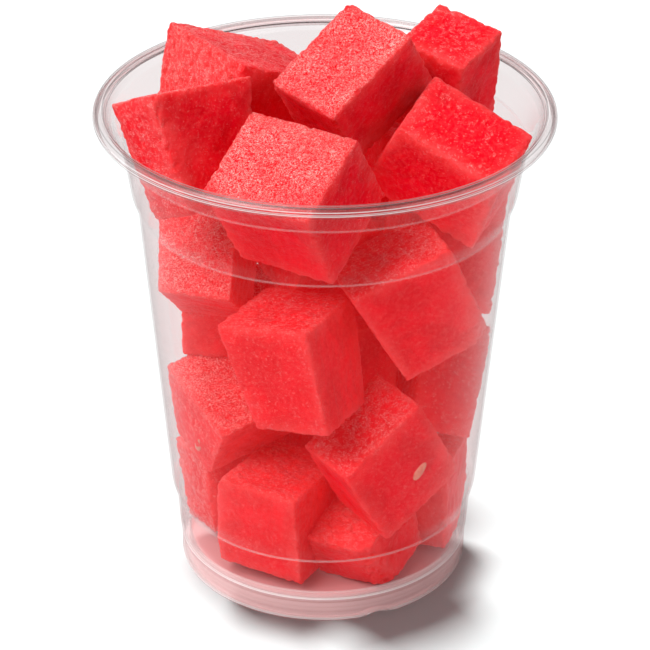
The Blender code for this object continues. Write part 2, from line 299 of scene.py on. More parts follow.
@dataclass(frozen=True)
class FleshFinish:
    """Moist melon flesh: red, paler where it is grainy, with faint fibres.
    Paler edges, as if light shone through the thin flesh, and fine glints
    are painted light.

    It reads six values from the mesh: flesh_space, the place within the
    uncut melon in millimetres; edge, 1 on an edge; rim, which fades more
    slowly away from the edges; coarse, 1 where the cut has torn the cells
    open and higher on faces turned to the light, so partly painted light;
    the chunk's paleness, painted light on the lit left and front of the cup;
    and sunk, 1 inside the cup, where a faint red glow stands for light passed
    on from chunk to chunk.
    """

    deep: tuple = rgba(224, 0, 24)
    body: tuple = rgba(244, 6, 34)
    pale: tuple = rgba(254, 104, 102)
    sugar_and_sparkle: tuple = rgba(255, 212, 206)
    glow: tuple = (1.0, 0.004, 0.012, 1.0)
    unlit: tuple = (0.0, 0.0, 0.0, 1.0)
    glow_strength: float = 0.13
    roughness: float = 0.36
    wet: float = 0.06
    dull: float = 0.10
    shine: float = 0.05
    scatter_share: float = 0.75
    scatter_depth: float = 3.6 * MM
    scatter_radius: tuple = (1.0, 0.15, 0.12)
    refraction: float = 1.36

    clouds: Pattern = Pattern(0.10, 3.0, 0.5, 0.38, 0.62)
    fibres: Pattern = Pattern(0.7, 4.0, 0.8, 0.48, 0.74)
    fibre_stretch: tuple = (1.3, 1.1, 0.10)
    patches: Pattern = Pattern(0.16, 2.0, 0.0, 0.30, 0.66)
    mottle: Pattern = Pattern(1.1, 3.0, 0.0, 0.42, 0.70)
    painted_glints: Pattern = Pattern(1.9, 0.0, 0.0, 0.70, 0.76)
    thread_noise: tuple = (1.65, 0.0, 2.4)
    thread_level: float = 0.5
    thread_width: tuple = (0.06, 0.018)
    cell_noise: tuple = (2.6, 1.0, 0.8)
    speck_range: tuple = (0.57, 0.66)
    pit_range: tuple = (0.47, 0.38)
    lively_noise: tuple = (0.8, 1.0)
    lively_range: tuple = (0.68, 0.78)
    lively_torn: float = 0.45
    torn_least: float = 0.55

    cloud_share: float = 0.85
    fibre_share: float = 0.12
    rim_share: tuple = (0.06, 0.30)
    mottle_share: float = 0.16
    torn_share: float = 0.10
    thread_share: tuple = (0.10, 0.84)
    speck_share: float = 0.26
    pit_share: float = 0.95
    painted_glint_share: tuple = (0.04, 0.40)
    edge_share: float = 0.20
    thread_relief: tuple = (0.10, 0.9)
    cell_relief: tuple = (0.25, 0.8)
    fibre_relief: float = 0.15
    relief: float = 0.60 * MM

    def material(self) -> bpy.types.Material:
        """Build the material."""
        tree = ShaderTree("melon_flesh")
        place = tree.attribute("flesh_space", "Vector")
        edge, rim, coarse, lit_paleness, sunk = (
            tree.attribute(name) for name in ("edge", "rim", "coarse", "lit_paleness", "sunk")
        )
        clouds = tree.pattern(place, self.clouds)
        fibres = tree.pattern(tree.stretch(place, self.fibre_stretch), self.fibres)
        level = tree.noise(place, *self.thread_noise)
        threads = tree.ramp(abs(level - self.thread_level), *self.thread_width)
        cells = tree.noise(place, *self.cell_noise)
        specks = tree.ramp(cells, *self.speck_range)
        pits = tree.ramp(cells, *self.pit_range)
        patch = tree.pattern(place, self.patches)
        painted_glints = tree.pattern(place, self.painted_glints)
        mottle = tree.pattern(place, self.mottle)
        torn = coarse * (self.torn_least + patch * (1.0 - self.torn_least))
        unrest = tree.noise(place, *self.lively_noise) + coarse * self.lively_torn
        lively = tree.ramp(unrest, *self.lively_range)

        rim_share = self.growing(self.rim_share, patch)
        thread_share = self.growing(self.thread_share, torn)
        painted_glint_share = self.growing(self.painted_glint_share, torn)
        colour = tree.blend(clouds * self.cloud_share, self.body, self.deep)
        colour = tree.blend(fibres * self.fibre_share, colour, self.pale)
        # Painted light: paler bands along the edges, as if light shone through the thin flesh.
        colour = tree.blend(rim * rim_share, colour, self.pale)
        # Painted light: whole chunks paler on the lit left and front of the cup; the mottle is the flesh's
        # own.
        colour = tree.blend(mottle * self.mottle_share + lit_paleness, colour, self.pale)
        # Pale wash where torn; coarse is higher on faces turned to the light, so this is partly painted
        # light.
        colour = tree.blend(torn * torn * self.torn_share, colour, self.pale)
        # Pale threads and specks: the flesh's own crystals, and partly painted sparkle.
        colour = tree.blend(threads * lively * thread_share, colour, self.sugar_and_sparkle)
        colour = tree.blend(specks * lively * torn * self.speck_share, colour, self.sugar_and_sparkle)
        colour = tree.blend(pits * torn * self.pit_share, colour, self.deep)
        # Painted highlight: fine white glints drawn into the colour of the torn faces.
        colour = tree.blend(painted_glints * painted_glint_share, colour, self.sugar_and_sparkle)
        # Painted light: the edges themselves drawn paler still.
        colour = tree.blend(edge * self.edge_share, colour, self.pale)

        thread_relief = threads * self.growing(self.thread_relief, coarse)
        cell_relief = cells * self.growing(self.cell_relief, coarse)
        relief = thread_relief + cell_relief + fibres * self.fibre_relief
        values = {
            "Base Color": colour,
            "Roughness": self.roughness - coarse * self.wet + cells * self.dull,
            "IOR": self.refraction,
            "Specular IOR Level": self.shine,
            "Subsurface Weight": self.scatter_share,
            "Subsurface Radius": self.scatter_radius,
            "Subsurface Scale": self.scatter_depth,
            "Emission Color": tree.blend(sunk, self.unlit, self.glow),
            "Emission Strength": self.glow_strength,
            "Normal": tree.bump(relief, self.relief),
        }
        return tree.finish(tree.add("ShaderNodeBsdfPrincipled", {}, values))

    @staticmethod
    def growing(share: tuple, by: Wire) -> Wire:
        """A share that starts at its first number and grows by its second."""
        return share[0] + by * share[1]


@dataclass(frozen=True)
class SheetFinish:
    """Clear thermoformed plastic.

    Light passes straight through the thin wall and glances off it more at a
    low angle, where the longer way through the plastic also dims it. Fine pale
    lines at the tight bends and round the lip are painted highlights. Dark lines
    round the lip are painted shade, and red lines at the base a painted
    reflection of the fruit. The base has a milky haze whose pink partly paints
    the fruit's red light, the raised floor a painted red reflection, and the far
    side of the neck a painted grey shade.
    Lines are given as (height, half width, strength) on the wall and (angle,
    half width, strength) round the lip, in millimetres and degrees. Rays that
    only carry light from surface to surface take the open way through.
    """

    lip_centre: tuple
    foot_radius: float
    tint: tuple = (0.962, 0.910, 0.910, 1.0)
    open_way: tuple = (0.98, 0.98, 0.98, 1.0)
    absorption_and_shade: tuple = (0.26, 0.15, 0.15, 1.0)
    highlight_white: tuple = (0.95, 0.93, 0.93, 1.0)
    haze_and_fruit_light: tuple = (0.96, 0.70, 0.69, 1.0)
    painted_plate_red: tuple = (0.90, 0.24, 0.25, 1.0)
    fruit_reflection_red: tuple = (0.42, 0.10, 0.11, 1.0)
    painted_dark: tuple = (0.03, 0.03, 0.03, 1.0)
    glance: float = 0.004
    lip_glance: float = 0.03
    steep_glance: float = 0.45
    lip_dim: float = 0.06
    steep_dim: float = 0.16
    steep_lip_dim: float = 0.28
    steepness: float = 4.0
    polish: float = 0.06
    lip_blur: float = 0.24
    ripple_noise: tuple = (160.0, 2.0)
    ripple_height: float = 0.02 * MM
    wall_highlights: tuple = (
        (103.5, 0.30, 0.12),
        (89.5, 0.30, 0.13),
        (16.8, 0.24, 0.26),
        (8.2, 0.25, 0.14),
        (6.15, 0.22, 0.70),
        (0.75, 0.30, 0.45),
    )
    lip_highlights: tuple = ((20.0, 9.0, 0.35), (-14.0, 9.0, 0.75), (108.0, 7.0, 0.30), (150.0, 8.0, 0.35))
    lip_shades: tuple = ((178.0, 10.0, 0.92), (125.0, 8.0, 0.30), (-50.0, 10.0, 0.25), (62.0, 9.0, 0.22))
    fruit_reflection_lines: tuple = ((5.3, 0.28, 0.40), (3.9, 0.22, 0.12), (2.7, 0.30, 0.14), (0.35, 0.22, 0.40))
    taper: float = 0.02
    wall_fade: tuple = (0.7, 0.3)
    lip_fade: tuple = (1.6, 0.9)
    neck_range: tuple = (93.0, 94.5)
    neck_shade: float = 0.11
    far_range: tuple = (-10.0 * MM, 30.0 * MM)
    base_range: tuple = (8.6, 8.1)
    plate_fade: tuple = (1.0, 2.0)
    base_haze_and_fruit_light: float = 0.20
    painted_plate_share: float = 0.20

    def material(self) -> bpy.types.Material:
        """Build the material."""
        tree = ShaderTree("clear_sheet")
        place = tree.add("ShaderNodeTexCoord", {}, {}, "Object")
        parts = tree.make("ShaderNodeSeparateXYZ", {}, {0: place})
        east, north, up = (Wire(tree, parts.outputs[axis]) for axis in range(3))
        height = up * (1.0 / MM)
        radius = (east**2.0 + north**2.0) ** 0.5 * (1.0 / MM)

        wall_edge = [self.foot_radius - fade for fade in self.wall_fade]
        lip_edge = [self.lip_centre[1] - fade for fade in self.lip_fade]
        plate_edge = [self.foot_radius - fade for fade in self.plate_fade]
        on_wall = tree.ramp(radius - height * self.taper, *wall_edge)
        on_lip = tree.ramp(height, *lip_edge)
        on_neck = tree.ramp(height, *self.neck_range) * (1.0 - on_lip)
        in_base = tree.ramp(height, *self.base_range)
        on_plate = tree.ramp(radius, *plate_edge) * in_base
        far_side = tree.ramp(north, *self.far_range)
        angle = tree.turn_from(radius - self.lip_centre[0], height - self.lip_centre[1])
        # Painted highlights: pale lines at the wall's bends and round the lip.
        wall_highlights = on_wall * tree.peaks(height, self.wall_highlights)
        painted_highlights = wall_highlights + on_lip * tree.peaks(angle, self.lip_highlights)
        # Painted shade: dark lines round the lip.
        painted_dark_lines = on_lip * tree.peaks(angle, self.lip_shades)
        # Painted reflection of the fruit: red lines round the base.
        painted_red_lines = on_wall * tree.peaks(height, self.fruit_reflection_lines)

        facing = tree.add("ShaderNodeLayerWeight", {}, {"Blend": 0.5}, "Facing")
        steep = facing**self.steepness
        mirror_share = self.glance + on_lip * self.lip_glance + self.steep_glance * steep
        # Painted shade: the far side of the neck drawn greyer.
        neck_shade = on_neck * far_side * self.neck_shade
        steep_dim = steep * (self.steep_dim + on_lip * self.steep_lip_dim)
        dimming = on_lip * self.lip_dim + neck_shade + steep_dim
        ripples = tree.bump(tree.noise(place, *self.ripple_noise), self.ripple_height)
        polish = on_lip * self.lip_blur + self.polish
        mirror = tree.add("ShaderNodeBsdfGlossy", {}, {"Roughness": polish, "Normal": ripples})

        # Dimming: the plastic's absorption, with the neck's painted shade.
        shader = tree.cover(dimming, tree.clear(self.tint), tree.clear(self.absorption_and_shade))
        # A milky haze at the base, its pink partly painted light from the fruit.
        shader = tree.cover(in_base * self.base_haze_and_fruit_light, shader, tree.matt(self.haze_and_fruit_light))
        # Painted reflection: the raised floor drawn red, as if it mirrored the fruit.
        shader = tree.cover(on_plate * self.painted_plate_share, shader, tree.matt(self.painted_plate_red))
        # Painted reflection of the fruit laid on as red.
        shader = tree.cover(painted_red_lines, shader, tree.clear(self.fruit_reflection_red))
        # Painted shade laid on as black.
        shader = tree.cover(painted_dark_lines, shader, tree.clear(self.painted_dark))
        # Painted highlights laid on as white.
        shader = tree.cover(painted_highlights, shader, tree.matt(self.highlight_white))
        shader = tree.cover(mirror_share, shader, mirror)
        path = tree.make("ShaderNodeLightPath", {}, {})
        lighting = Wire(tree, path.outputs["Is Shadow Ray"]) + Wire(tree, path.outputs["Is Diffuse Ray"])
        return tree.finish(tree.cover(lighting, shader, tree.clear(self.open_way)))


@dataclass(frozen=True)
class SeedFinish:
    """A soft unripe seed: pale, a little pink from the flesh around it."""

    husk: tuple = rgba(236, 142, 118)
    shade: tuple = rgba(222, 100, 86)
    streaks: Pattern = Pattern(900.0, 2.0, 0.0, 0.35, 0.7)
    streak_share: float = 0.6
    roughness: float = 0.4
    scatter_share: float = 0.3
    scatter_depth: float = 0.8 * MM
    scatter_radius: tuple = (1.0, 0.5, 0.3)

    def material(self) -> bpy.types.Material:
        """Build the material."""
        tree = ShaderTree("pale_seed")
        place = tree.add("ShaderNodeTexCoord", {}, {}, "Object")
        streaks = tree.pattern(place, self.streaks)
        values = {
            "Base Color": tree.blend(streaks * self.streak_share, self.husk, self.shade),
            "Roughness": self.roughness,
            "Subsurface Weight": self.scatter_share,
            "Subsurface Radius": self.scatter_radius,
            "Subsurface Scale": self.scatter_depth,
        }
        return tree.finish(tree.add("ShaderNodeBsdfPrincipled", {}, values))


@dataclass(frozen=True)
class GroundFinish:
    """A plain white studio floor."""

    white: tuple = (0.42, 0.45, 0.45, 1.0)
    roughness: float = 0.7
    shine: float = 0.2

    def material(self) -> bpy.types.Material:
        """Build the material."""
        tree = ShaderTree("studio_white")
        values = {"Base Color": self.white, "Roughness": self.roughness, "Specular IOR Level": self.shine}
        return tree.finish(tree.add("ShaderNodeBsdfPrincipled", {}, values))


# ---- surface helpers


def make_mesh(name: str, points: Array, quads: Array) -> bpy.types.Object:
    """Put points and four-sided faces into a new smooth-shaded object.

    Args:
        name: The object's name.
        points: Places in metres, one row each.
        quads: Four point numbers to a row. A repeated number makes a triangle.

    Returns:
        The object, at the origin.
    """
    used, numbers = np.unique(quads, return_inverse=True)
    quads = numbers.reshape(quads.shape)
    kept = quads != np.roll(quads, 1, axis=1)
    loops = quads[kept]
    totals = kept.sum(axis=1)
    mesh = bpy.data.meshes.new(name)
    mesh.vertices.add(len(used))
    mesh.vertices.foreach_set("co", points[used].astype(np.float32).ravel())
    mesh.loops.add(len(loops))
    mesh.loops.foreach_set("vertex_index", loops.astype(np.int32))
    mesh.polygons.add(len(totals))
    mesh.polygons.foreach_set("loop_start", (np.cumsum(totals) - totals).astype(np.int32))
    mesh.update(calc_edges=True)
    mesh.shade_smooth()
    thing = bpy.data.objects.new(name, mesh)
    bpy.context.scene.collection.objects.link(thing)
    return thing


def store(thing: bpy.types.Object, name: str, values: Array) -> None:
    """Keep a number or a vector for each point of a mesh.

    Args:
        thing: The object.
        name: The attribute's name.
        values: One value, or one row of three, for each point.
    """
    if values.ndim == 1:
        layer = thing.data.attributes.new(name, "FLOAT", "POINT")
        layer.data.foreach_set("value", values.astype(np.float32))
    else:
        layer = thing.data.attributes.new(name, "FLOAT_VECTOR", "POINT")
        layer.data.foreach_set("vector", values.astype(np.float32).ravel())


def waves(
    points: Array,
    length: float,
    seed: int,
    count: int = 20,
    spread: tuple = (0.7, 1.5),
) -> Array:
    """Smooth random waviness, about 1 high.

    The sum of many plane waves of about one wavelength, each with its own
    direction and phase: sum of sin(k . p + phase), over the root of half their
    number.

    Args:
        points: Places, one row each.
        length: The usual wavelength, in the points' unit.
        seed: Chooses the waves.
        count: The number of waves.
        spread: The fewest and the most waves in one usual wavelength.

    Returns:
        One value for each point.
    """
    rng = np.random.default_rng(seed)
    directions = rng.normal(size=(count, 3))
    directions /= np.linalg.norm(directions, axis=1, keepdims=True)
    steps = directions * (2.0 * math.pi / length) * rng.uniform(*spread, (count, 1))
    phases = rng.uniform(0.0, 2.0 * math.pi, count)
    return np.sin(points @ steps.T + phases).sum(axis=1) / math.sqrt(count / 2.0)


def triangle_corners(thing: bpy.types.Object) -> Array:
    """The corners of a mesh's triangles, as an array of triangle, corner, axis."""
    mesh = thing.data
    mesh.calc_loop_triangles()
    points = np.zeros(len(mesh.vertices) * 3)
    mesh.vertices.foreach_get("co", points)
    numbers = np.zeros(len(mesh.loop_triangles) * 3, dtype=np.int64)
    mesh.loop_triangles.foreach_get("vertices", numbers)
    return points.reshape(-1, 3)[numbers].reshape(-1, 3, 3)


def block_grid(cells: int) -> tuple[Array, Array]:
    """A closed grid over the six sides of a block.

    Points are whole numbers from 0 to cells on each axis with at least one
    axis at an end, welded along the block's edges.

    Args:
        cells: Cells along each side.

    Returns:
        The points, and the four-sided faces with their fronts outwards.
    """
    steps = np.arange(cells)
    across, along = np.meshgrid(steps, steps, indexing="ij")
    ring = ((0, 0), (1, 0), (1, 1), (0, 1))
    corners = []
    for axis in range(3):
        for end in (0, cells):
            turn = ring if end else ring[::-1]
            side = np.empty((cells * cells, 4, 3), dtype=np.int64)
            side[:, :, axis] = end
            for corner, (right, up) in enumerate(turn):
                side[:, corner, (axis + 1) % 3] = (across + right).ravel()
                side[:, corner, (axis + 2) % 3] = (along + up).ravel()
            corners.append(side)
    stacked = np.concatenate(corners).reshape(-1, 3)
    points, numbers = np.unique(stacked, axis=0, return_inverse=True)
    return points, numbers.reshape(-1, 4)


def add_up(numbers: Array, rows: Array, count: int) -> Array:
    """Add rows of three values up by their point numbers."""
    return np.stack([np.bincount(numbers, rows[:, axis], count) for axis in range(3)], axis=1)


def relax(points: Array, quads: Array, rounds: int) -> Array:
    """Soften a closed grid: each point moves halfway to its neighbours' mean.

    Args:
        points: Places, one row each.
        quads: The faces.
        rounds: How often the step is repeated.

    Returns:
        The moved points.
    """
    starts = quads.ravel()
    ends = np.roll(quads, -1, axis=1).ravel()
    count = np.bincount(starts, minlength=len(points))[:, None]
    for _ in range(rounds):
        points = 0.5 * points + 0.5 * add_up(starts, points[ends], len(points)) / count
    return points


def point_normals(points: Array, quads: Array) -> Array:
    """Unit normals at the points: the sum of the crossed diagonals of their faces."""
    first, second, third, fourth = (points[quads[:, corner]] for corner in range(4))
    crossed = np.cross(third - first, fourth - second)
    total = add_up(quads.ravel(), np.repeat(crossed, 4, axis=0), len(points))
    return total / np.linalg.norm(total, axis=1, keepdims=True)


# ---- pieces


class Detail(Enum):
    """How finely a chunk is divided: cells along each side of its block."""

    SHOWN = 64
    BEHIND = 44
    CORE = 96


class Cut(Enum):
    """How grainy and pale a chunk's faces are drawn: partly the knife's tearing, partly painted light on the
    faces turned to the light.
    """

    TORN = 1.0
    MIXED = 0.62
    CLEAN = 0.42


@dataclass
class SolidFaces:
    """The flat faces of a chunk's solid."""

    normals: Array
    reaches: Array
    areas: Array
    leaning: float = 0.5

    @classmethod
    def of(cls, triangles: Array, least_area: float = LEAST_FACE) -> "SolidFaces":
        """Gather a solid's triangles into its large flat faces.

        Args:
            triangles: Corners in millimetres, as triangle, corner, axis.
            least_area: The smallest face kept, in square millimetres.

        Returns:
            The faces, the largest first.
        """
        crossed = np.cross(triangles[:, 1] - triangles[:, 0], triangles[:, 2] - triangles[:, 0])
        doubled = np.linalg.norm(crossed, axis=1)
        units = crossed / doubled[:, None]
        offsets = (units * triangles[:, 0]).sum(axis=1)
        left = np.ones(len(units), dtype=bool)
        found = []
        for index in np.argsort(-doubled):
            if left[index]:
                level = np.abs(offsets - offsets[index]) < SAME_REACH
                same = left & level & (units @ units[index] > SAME_WAY)
                left &= ~same
                found.append((doubled[same].sum() / 2.0, index))
        found = sorted([item for item in found if item[0] > least_area], reverse=True)
        chosen = [index for _, index in found]
        return cls(units[chosen], offsets[chosen], np.array([area for area, _ in found]))

    def axes(self) -> Array:
        """The solid's own axes as columns.

        The last is the normal of its largest face, and the first is the normal
        of the largest face that stands about square to it.

        Returns:
            A turn as a three by three matrix.
        """
        up = self.normals[0]
        square = np.abs(self.normals @ up) < self.leaning
        side = self.normals[square][0]
        side = side - up * (side @ up)
        side /= np.linalg.norm(side)
        return np.stack([side, np.cross(up, side), up], axis=1)

    def depth(self, points: Array) -> Array:
        """How far each point lies inside each face, in millimetres."""
        return self.reaches - points @ self.normals.T


@dataclass
class MelonChunk:
    """One hand-cut chunk, grown over its solid."""

    node: str
    number: int
    detail: Detail
    cut: Cut
    lit_paleness: float
    nibble: float
    edge_width: float = 0.9
    rim_width: float = 2.8
    face_blend: float = 0.5
    corner_pull: float = 0.4
    rounding: int = 3
    swell: tuple = (0.13, 11.0)
    lumps: tuple = (0.07, 3.4)
    grain: tuple = (0.05, 1.25)
    clean_grain: float = 0.4
    bite_length: float = 2.1
    bite_level: float = 0.2
    bite_most: float = 2.0
    pit_depth: float = 0.35
    pit_length: float = 6.0
    pit_level: float = 1.1
    clean_pits: float = 0.25
    ragged_length: float = 1.7
    ragged_share: float = 0.6
    ragged_most: float = 1.5
    deepest: float = -1.2
    highest: float = 0.14
    own_torn: float = 0.22
    lit_side_torn: float = 0.85
    light_side: tuple = (-0.42, -0.12, 0.90)
    torn_seed: int = 900
    wave_seeds: int = 40
    heap_foot: float = 112.0
    heap_fade: float = 22.0
    melon_step: float = 37.0

    def surface(self, triangles: Array, faces: SolidFaces) -> tuple[Array, Array]:
        """Lay a block grid over the solid.

        Each grid point sets a direction from the solid's middle. Seen from
        there, a triangle spans a cone, and the direction is w0 v0 + w1 v1 +
        w2 v2 in its corners v. Where all three weights are positive, the
        surface lies at a distance of 1 / (w0 + w1 + w2).

        Args:
            triangles: The solid's triangles in millimetres.
            faces: The solid's flat faces.

        Returns:
            The points in millimetres, and the faces.
        """
        grid, quads = block_grid(self.detail.value)
        share = grid / self.detail.value * 2.0 - 1.0
        pulled = np.sin(share * math.pi / 2.0)
        share = (1.0 - self.corner_pull) * share + self.corner_pull * pulled
        axes = faces.axes()
        local = triangles.reshape(-1, 3) @ axes
        low, high = local.min(axis=0), local.max(axis=0)
        middle = axes @ ((low + high) / 2.0)
        directions = (share * (high - low) / 2.0) @ axes.T
        cones = np.linalg.inv((triangles - middle).transpose(0, 2, 1))
        reach = np.zeros(len(directions))
        for start in range(0, len(directions), BATCH):
            part = slice(start, start + BATCH)
            weights = cones @ directions[part].T
            hit = (weights > LEAST_WEIGHT).all(axis=1)
            total = weights.sum(axis=1)
            reach[part] = np.where(hit, 1.0 / np.where(hit, total, 1.0), 0.0).max(axis=0)
        points = middle + directions * reach[:, None]
        return relax(points, quads, self.rounding), quads

    def edge_share(self, depths: Array, width: float) -> Array:
        """1 on an edge, fading to 0 within a face.

        Exp of minus the square of d / width, where d is a point's depth inside
        the second nearest face.

        Args:
            depths: Each point's depth inside each face.
            width: How far the edge reaches.

        Returns:
            A share for each point.
        """
        second = np.sort(depths, axis=1)[:, 1]
        return np.exp(-((np.maximum(second, 0.0) / width) ** 2))

    def coarseness(self, depths: Array, faces: SolidFaces) -> Array:
        """How torn the cut is: each face has its own value, and faces turned to the upper left, where the
        light comes from, more. That share is painted light: it draws those faces paler and grainier.

        Args:
            depths: Each point's depth inside each face.
            faces: The solid's flat faces.

        Returns:
            A share for each point, blended over the edges.
        """
        rng = np.random.default_rng(self.torn_seed + self.number)
        own = rng.uniform(0.0, self.own_torn, len(faces.areas))
        # Painted light: faces turned to the light are drawn grainier and paler.
        lit_side = np.clip(faces.normals @ np.array(self.light_side), 0.0, 1.0)
        face_share = np.clip(own + self.lit_side_torn * lit_side, 0.0, 1.0) * self.cut.value
        weights = np.exp(-np.maximum(depths, 0.0) / self.face_blend)
        return weights @ face_share / weights.sum(axis=1)

    def carve(self, points: Array, quads: Array, edge: Array, coarse: Array) -> Array:
        """Give the flat faces their waviness, grain, pits and nibbled edges.

        The height along the normal is the sum of broad, middling and fine
        waves, less a bite on the edges where short waves are high, less pits
        where two sets of waves both peak.

        Args:
            points: Places in millimetres.
            quads: The faces.
            edge: The edge share of each point.
            coarse: The coarseness of each point.

        Returns:
            The moved points.
        """
        seed = self.wave_seeds * self.number
        heights = [
            strength * waves(points, length, seed + step)
            for step, (strength, length) in enumerate((self.swell, self.lumps, self.grain))
        ]
        height = heights[0] * (1.0 - edge)
        height += heights[1]
        height += heights[2] * (self.clean_grain + coarse)
        bites = waves(points, self.bite_length, seed + 3) - self.bite_level
        height -= self.nibble * edge * np.clip(bites, 0.0, self.bite_most)
        hollows = np.clip(waves(points, self.pit_length, seed + 4) - self.pit_level, 0.0, 1.0)
        ragged = self.ragged_share + waves(points, self.ragged_length, seed + 5)
        ragged = np.clip(ragged, 0.0, self.ragged_most)
        height -= self.pit_depth * hollows * ragged * (self.clean_pits + coarse)
        height = np.clip(height, self.deepest, self.highest)
        return points + point_normals(points, quads) * height[:, None]

    def build(self) -> bpy.types.Object:
        """Make the chunk's mesh."""
        triangles = triangle_corners(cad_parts[self.node]) / MM
        faces = SolidFaces.of(triangles)
        points, quads = self.surface(triangles, faces)
        depths = faces.depth(points)
        edge = self.edge_share(depths, self.edge_width)
        coarse = self.coarseness(depths, faces)
        points = self.carve(points, quads, edge, coarse)
        thing = make_mesh(self.node.replace("chunk", "melon"), points * MM, quads)
        inside = (points - points.mean(axis=0)) @ faces.axes() + self.melon_step * self.number
        store(thing, "flesh_space", inside)
        store(thing, "edge", edge)
        store(thing, "rim", self.edge_share(depths, self.rim_width))
        store(thing, "coarse", coarse)
        # Painted light: the chunk's paleness on the lit side of the cup.
        store(thing, "lit_paleness", np.full(len(points), self.lit_paleness))
        store(thing, "sunk", np.clip((self.heap_foot - points[:, 2]) / self.heap_fade, 0.0, 1.0))
        return thing

    def dress(self, thing: bpy.types.Object, material: bpy.types.Material) -> None:
        """Give the chunk its flesh and tie it to the frame."""
        thing.data.materials.append(material)
        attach(thing, "root")
        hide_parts(self.node)


@dataclass
class PaleSeed:
    """A seed lying half sunk in a chunk, where its solid has the seed fused on."""

    node: str
    length: float = 4.6
    width: float = 2.1
    height: float = 0.9
    fullness: float = 0.8
    narrowing: float = 0.2
    proud: float = 0.12
    rows: int = 28
    turns: int = 32

    def place(self) -> tuple[Array, Array]:
        """Find the seed on the chunk's solid.

        The points that stand proud of one of the large faces are the seed's.
        Their middle gives its place, and their longest spread its direction.

        Returns:
            The middle in millimetres, and the axes as columns: along, across, out.
        """
        triangles = triangle_corners(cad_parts[self.node]) / MM
        faces = SolidFaces.of(triangles, LARGE_FACE)
        points = np.unique(triangles.reshape(-1, 3).round(4), axis=0)
        outside = -faces.depth(points) > self.proud
        face = int(outside.sum(axis=0).argmax())
        own = points[outside[:, face]]
        out = faces.normals[face]
        middle = own.mean(axis=0)
        middle = middle - out * (middle @ out - faces.reaches[face])
        flat = own - middle
        flat = flat - np.outer(flat @ out, out)
        along = np.linalg.svd(flat)[2][0]
        return middle, np.stack([along, np.cross(out, along), out], axis=1)

    def build(self) -> bpy.types.Object:
        """Make the seed: a flat egg, narrower at one end.

        A point at angles t along and f around lies at half the length times
        cos t, half the width times girth cos f, and half the height times
        girth sin f. The girth is sin t to the power of the fullness, times 1
        less the narrowing times cos t.

        Returns:
            The object.
        """
        polar = np.linspace(0.0, math.pi, self.rows)
        around = np.arange(self.turns) * 2.0 * math.pi / self.turns
        swept, spun = np.meshgrid(polar, around, indexing="ij")
        girth = np.sin(swept) ** self.fullness * (1.0 - self.narrowing * np.cos(swept))
        body = np.stack(
            [
                self.length / 2.0 * np.cos(swept),
                self.width / 2.0 * girth * np.cos(spun),
                self.height / 2.0 * girth * np.sin(spun),
            ],
            axis=2,
        ).reshape(-1, 3)
        middle, axes = self.place()
        points = middle + body @ axes.T
        quads = tube_quads(self.rows, self.turns)
        return make_mesh(self.node.replace("chunk", "seed"), points * MM, quads)

    def dress(self, thing: bpy.types.Object, material: bpy.types.Material) -> None:
        """Give the seed its husk and tie it to the frame."""
        thing.data.materials.append(material)
        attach(thing, "root")
        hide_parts(self.node)


def tube_quads(rows: int, turns: int) -> Array:
    """Faces of a grid that closes round on itself and shrinks to a point at both ends.

    Args:
        rows: Points along the tube.
        turns: Points around it.

    Returns:
        Four point numbers to a row, fronts outwards. The first and last rows
        use one point number each.
    """
    row, turn = np.meshgrid(np.arange(rows - 1), np.arange(turns), indexing="ij")
    near, far = row * turns, (row + 1) * turns
    after = (turn + 1) % turns
    quads = np.stack([near + turn, near + after, far + after, far + turn], axis=2).reshape(-1, 4)
    last = (rows - 1) * turns
    quads = np.where(quads < turns, 0, quads)
    return np.where(quads >= last, last, quads)


